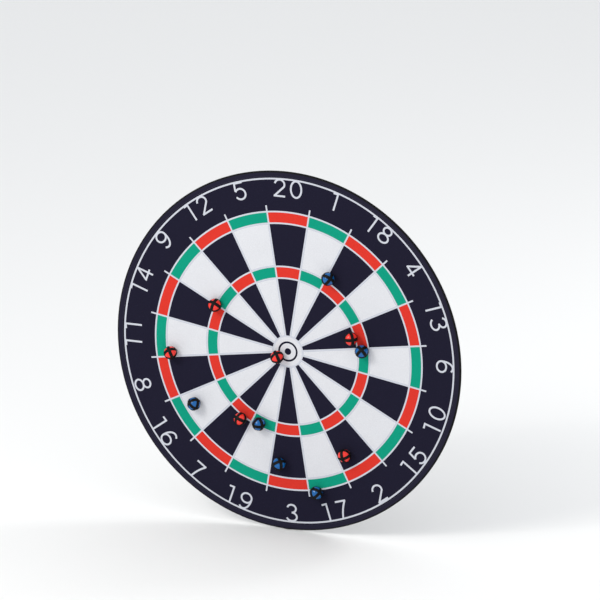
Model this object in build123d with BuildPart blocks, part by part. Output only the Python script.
from build123d import *

import itertools
import math
import os

# A pop-up fabric target board with twelve hook-tape balls stuck on its face, and the webbing
# loop that it hangs by. All sizes are in millimetres.
#
# Frame: the board stands upright. X runs to the right, Z up, and the face looks along -Y. The
# origin is the centre of the plane that lies on the wall, so everything is at Y below zero.

# ---- Driving dimensions ----------------------------------------------------------------------

board_d = 920.0        # over the rim
rim_w = 16.0           # the tape folded round the edge, as seen from the front
rim_t = 8.0            # thickest part of the rim, front to back
binding_t = 0.8        # rim tape

recess = 3.5           # the lining lies this far in front of the wall
lining_t = 0.8         # back cloth
face_t = 1.2           # front cloth with its loop pile
ply_gap = 0.1          # between the two cloths
seam_allowance = 6.0   # how far the cloths run under the tape
skin_gap = 0.05        # between pieces that are sewn or glued together

hoop_w = 3.6           # spring band, along Y
hoop_t = 0.8           # spring band, radially
hoop_r = 456.6         # to its inner face
hoop_gap = 2.0         # between the band's two ends
ferrule_l = 30.0
ferrule_wall = 0.4
ferrule_fit = 0.05
dent_d = 1.6           # crimp marks on the ferrule
dent_depth = 0.2

webbing_w = 15.0
webbing_t = 1.2
eye_w = 15.0           # clear width between the loop's two legs
loop_l = 120.0         # free length below the fold line
fold_z = 404.0         # height of the fold line that the loop swings about
fold_y = -1.1          # the fold line lies at the outer side of the webbing
sewn_bottom_z = 406.0
sewn_top_z = 440.0
patch_w = 60.0
patch_bottom_z = 407.0
patch_top_z = 442.0
patch_t = 0.9
patch_corner_r = 4.0

thread_d = 0.4
seam_inset = 2.0       # the rim's stitch row, in from the tape's edge
box_stitch_w = 11.0    # the stitched box on each sewn end
box_stitch_h = 28.0

ball_d = 34.0          # over the hook tape
hook_tape_t = 0.95     # tape with its hooks
strip_w = 8.0
shell_wall = 1.2
lap_l = 1.0            # tongue inside the joint of the two half shells
lap_gap = 0.05
butt_gap = 0.15        # between the strips' cut ends
pile_gap = 0.3         # between a ball's hooks and the cloth

# Where each ball sits on the face, its colour and how it lies: x, z, colour, and the turns
# about X, Y and Z in degrees.
balls = [
    (-189, 102, "red", (-40, 15, 10)),
    (114, 204, "blue", (-40, 15, 45)),
    (175, 58, "red", (0, -5, 40)),
    (204, 29, "blue", (-45, 35, 20)),
    (-22, -12, "red", (40, 5, 40)),
    (-309, -35, "red", (-40, -35, 5)),
    (-246, -160, "blue", (5, 40, -40)),
    (-121, -184, "red", (-20, 20, -15)),
    (-71, -191, "blue", (10, 5, -35)),
    (-17, -288, "blue", (-30, -30, 35)),
    (158, -245, "red", (15, -15, 5)),
    (83, -351, "blue", (30, -35, -10)),
]

# ---- Worked out from them ----------------------------------------------------------------------

rim_r = board_d / 2
tape_edge_r = rim_r - rim_w
cloth_r = tape_edge_r + seam_allowance
lining_front = recess + lining_t
face_back = lining_front + ply_gap
face_front = face_back + face_t
rim_mid = rim_t / 2
rim_round_r = rim_r - rim_mid
stitch_r = tape_edge_r + seam_inset
strap_depth = 1.3      # from the wall to the webbing's outer face
strap_mid = strap_depth + webbing_t / 2
leg_x = (eye_w + webbing_w) / 2
loop_bottom_z = fold_z - loop_l
shell_r = ball_d / 2 - hook_tape_t - skin_gap
ball_y = -(face_front + pile_gap + ball_d / 2)

os.makedirs("parts", exist_ok=True)


def save(piece, name):
    """Labels a finished piece and writes it to its own STEP file."""
    piece.part.label = name
    export_step(piece.part, f"parts/{name}.step")


def rim_plane(angle):
    """The plane through the board's axis at this angle: its x is the radius and its y is Y."""
    c = math.cos(math.radians(angle))
    s = math.sin(math.radians(angle))
    return Plane(origin=(0, 0, 0), x_dir=(c, 0, s), z_dir=(-s, 0, c))


# ---- The disc ----------------------------------------------------------------------------------

with BuildPart() as front_cloth:
    with BuildSketch(Plane.XZ.offset(face_back)):
        Circle(cloth_r)
    extrude(amount=face_t)
save(front_cloth, "front_cloth")

with BuildPart() as back_cloth:
    with BuildSketch(Plane.XZ.offset(recess)):
        Circle(cloth_r)
    extrude(amount=lining_t)
save(back_cloth, "back_cloth")


def tape_path(inset):
    """The rim tape's section line, this far inside its outer face, from the front edge round
    the hoop's tunnel to the back edge. It draws into the open BuildLine."""
    lap_front = -(face_front + skin_gap + binding_t) + inset
    lap_back = -(recess - skin_gap - binding_t) - inset
    front = Polyline(
        (tape_edge_r, lap_front),
        (tape_edge_r + 4.6 + inset / 3, lap_front),
        (tape_edge_r + 9 + inset / 4, -rim_t + inset),
        (rim_round_r, -rim_t + inset),
    )
    back = Polyline(
        (rim_round_r, -inset),
        (tape_edge_r + 7 + inset / 3, -inset),
        (tape_edge_r + 3.2 + inset / 3, lap_back),
        (tape_edge_r, lap_back),
    )
    ThreePointArc(front @ 1, (rim_r - inset, -rim_mid), back @ 0)
    return front, back


with BuildPart() as rim_binding:
    with BuildSketch(Plane.XY):
        with BuildLine():
            outer_front, outer_back = tape_path(0)
            inner_front, inner_back = tape_path(binding_t)
            Line(outer_front @ 0, inner_front @ 0)
            Line(outer_back @ 1, inner_back @ 1)
        make_face()
    revolve(axis=Axis.Y)
save(rim_binding, "rim_binding")

# One row of lockstitch through tape and cloths: the needle thread lies on the front, the
# bobbin thread on the back.
with BuildPart() as edge_stitching:
    front_seat = -(face_front + 2 * skin_gap + binding_t + thread_d / 2)
    back_seat = -(recess - 2 * skin_gap - binding_t - thread_d / 2)
    with BuildSketch(Plane.XY):
        with Locations((stitch_r, front_seat), (stitch_r, back_seat)):
            Circle(thread_d / 2)
    revolve(axis=Axis.Y)
save(edge_stitching, "edge_stitching")

# ---- The spring hoop in the rim ------------------------------------------------------------------

bottom = 270           # the hoop's ends meet at the bottom of the board
gap_angle = math.degrees(hoop_gap / hoop_r)
ferrule_angle = math.degrees(ferrule_l / hoop_r)

with BuildPart() as spring_hoop:
    with BuildSketch(rim_plane(bottom - gap_angle / 2)):
        with Locations((hoop_r + hoop_t / 2, -rim_mid)):
            Rectangle(hoop_t, hoop_w)
    revolve(axis=Axis.Y, revolution_arc=360 - gap_angle)
save(spring_hoop, "spring_hoop")

with BuildPart() as hoop_ferrule:
    bore_t = hoop_t + 2 * ferrule_fit
    bore_w = hoop_w + 2 * ferrule_fit
    with BuildSketch(rim_plane(bottom + ferrule_angle / 2)):
        with Locations((hoop_r + hoop_t / 2, -rim_mid)):
            Rectangle(bore_t + 2 * ferrule_wall, bore_w + 2 * ferrule_wall)
            Rectangle(bore_t, bore_w, mode=Mode.SUBTRACT)
    revolve(axis=Axis.Y, revolution_arc=ferrule_angle)
    # Two crimp dents in the inner face hold each end of the band.
    ferrule_top_z = -(hoop_r - ferrule_fit - ferrule_wall)
    dent_r = dent_d**2 / (8 * dent_depth) + dent_depth / 2
    for x in (-ferrule_l / 3, -ferrule_l / 6, ferrule_l / 6, ferrule_l / 3):
        rise = x**2 / (2 * hoop_r)
        with Locations((x, -rim_mid, ferrule_top_z + rise + dent_r - dent_depth)):
            Sphere(dent_r, mode=Mode.SUBTRACT)
save(hoop_ferrule, "hoop_ferrule")

# ---- The hanging strap on the back -----------------------------------------------------------------

with BuildPart() as strap_patch:
    with BuildSketch(Plane.XZ.offset(recess - skin_gap - patch_t)):
        with Locations((0, (patch_bottom_z + patch_top_z) / 2)):
            RectangleRounded(patch_w, patch_top_z - patch_bottom_z, patch_corner_r)
    extrude(amount=patch_t)
save(strap_patch, "strap_patch")

with BuildPart() as strap_ends:
    with BuildSketch(Plane.XZ.offset(strap_depth)):
        sewn_mid_z = (sewn_bottom_z + sewn_top_z) / 2
        with Locations((-leg_x, sewn_mid_z), (leg_x, sewn_mid_z)):
            Rectangle(webbing_w, sewn_top_z - sewn_bottom_z)
    extrude(amount=webbing_t)
save(strap_ends, "strap_ends")

# A box with a cross in it, sewn through each end.
with BuildPart() as strap_stitching:
    with BuildSketch(Plane.XZ.offset(strap_depth - skin_gap - thread_d)):
        diagonal = math.hypot(box_stitch_w, box_stitch_h) - thread_d
        slope = math.degrees(math.atan2(box_stitch_h, box_stitch_w))
        with Locations((-leg_x, sewn_mid_z), (leg_x, sewn_mid_z)):
            Rectangle(box_stitch_w + thread_d, box_stitch_h + thread_d)
            Rectangle(box_stitch_w - thread_d, box_stitch_h - thread_d, mode=Mode.SUBTRACT)
            Rectangle(diagonal, thread_d, rotation=slope)
            Rectangle(diagonal, thread_d, rotation=-slope)
    extrude(amount=thread_d)
save(strap_stitching, "strap_stitching")

# The free loop: two legs, and a cross strip that the webbing reaches by a 45 degree fold at
# each corner, where it lies double.
with BuildPart() as hanging_loop:
    outer_x = eye_w / 2 + webbing_w
    inner_x = eye_w / 2
    shoulder_z = loop_bottom_z + webbing_w
    with BuildSketch(Plane.XZ.offset(strap_depth)):
        with BuildLine():
            Polyline(
                (-outer_x, fold_z),
                (-outer_x, shoulder_z),
                (-inner_x, loop_bottom_z),
                (inner_x, loop_bottom_z),
                (outer_x, shoulder_z),
                (outer_x, fold_z),
                (inner_x, fold_z),
                (inner_x, shoulder_z),
                (-inner_x, shoulder_z),
                (-inner_x, fold_z),
                close=True,
            )
        make_face()
    extrude(amount=webbing_t)
    with BuildSketch(Plane.XZ.offset(strap_mid)):
        for side in (-1, 1):
            with BuildLine():
                Polyline(
                    (side * outer_x, shoulder_z),
                    (side * inner_x, loop_bottom_z),
                    (side * inner_x, shoulder_z),
                    close=True,
                )
            make_face()
    extrude(amount=webbing_t, both=True)
save(hanging_loop, "hanging_loop")

# ---- The balls ---------------------------------------------------------------------------------


def half_shell(seat, side):
    """One moulded half of a ball, on the side of its equator that side says, +1 or -1. The
    upper half carries a thin tongue that locates the lower one."""
    inner_r = shell_r - shell_wall
    lap_r = shell_r - shell_wall / 2
    with BuildPart() as half:
        with BuildSketch(Plane(origin=seat.origin, x_dir=seat.x_dir, z_dir=-seat.y_dir)):
            with BuildLine():
                outside = CenterArc((0, 0), shell_r, 0, side * 90)
                inside = CenterArc((0, 0), inner_r, 0, side * 90)
                Line(outside @ 0, inside @ 0)
                Line(outside @ 1, inside @ 1)
            make_face()
            if side > 0:
                with Locations((inner_r, 0)):
                    Rectangle(shell_wall / 2 - lap_gap, lap_l, align=(Align.MIN, Align.MAX))
            else:
                with Locations((lap_r, 0)):
                    Rectangle(
                        shell_wall,
                        lap_l + lap_gap,
                        align=(Align.MAX, Align.MAX),
                        mode=Mode.SUBTRACT,
                    )
        revolve(axis=Axis(seat.origin, seat.z_dir))
    return half


def hook_strips(seat):
    """The hook tape of a ball: one whole ring over the welded equator, two half rings across
    it and four quarter rings between those, with their cut ends butted."""
    bed_r = shell_r + skin_gap
    edge = strip_w / 2
    block = ball_d
    with BuildPart(seat) as tape:
        Sphere(ball_d / 2)
        Sphere(bed_r, mode=Mode.SUBTRACT)
        window = edge + block / 2
        with Locations(*itertools.product((-window, window), repeat=3)):
            Box(block, block, block, mode=Mode.SUBTRACT)
        cut = edge + butt_gap / 2
        with Locations((0, 0, -cut), (0, 0, cut)):
            Box(block, block, butt_gap, mode=Mode.SUBTRACT)
        with Locations(*itertools.product((-cut, cut), (0,), (-window, window))):
            Box(butt_gap, block, block, mode=Mode.SUBTRACT)
    return tape


for number, (x, z, colour, turns) in enumerate(balls, 1):
    seat = Plane(Location((x, ball_y, z), turns))
    ball = f"{colour}_ball_{number:02d}"
    save(half_shell(seat, 1), f"{ball}_half_a")
    save(half_shell(seat, -1), f"{ball}_half_b")
    save(hook_strips(seat), f"{ball}_hook_tape")
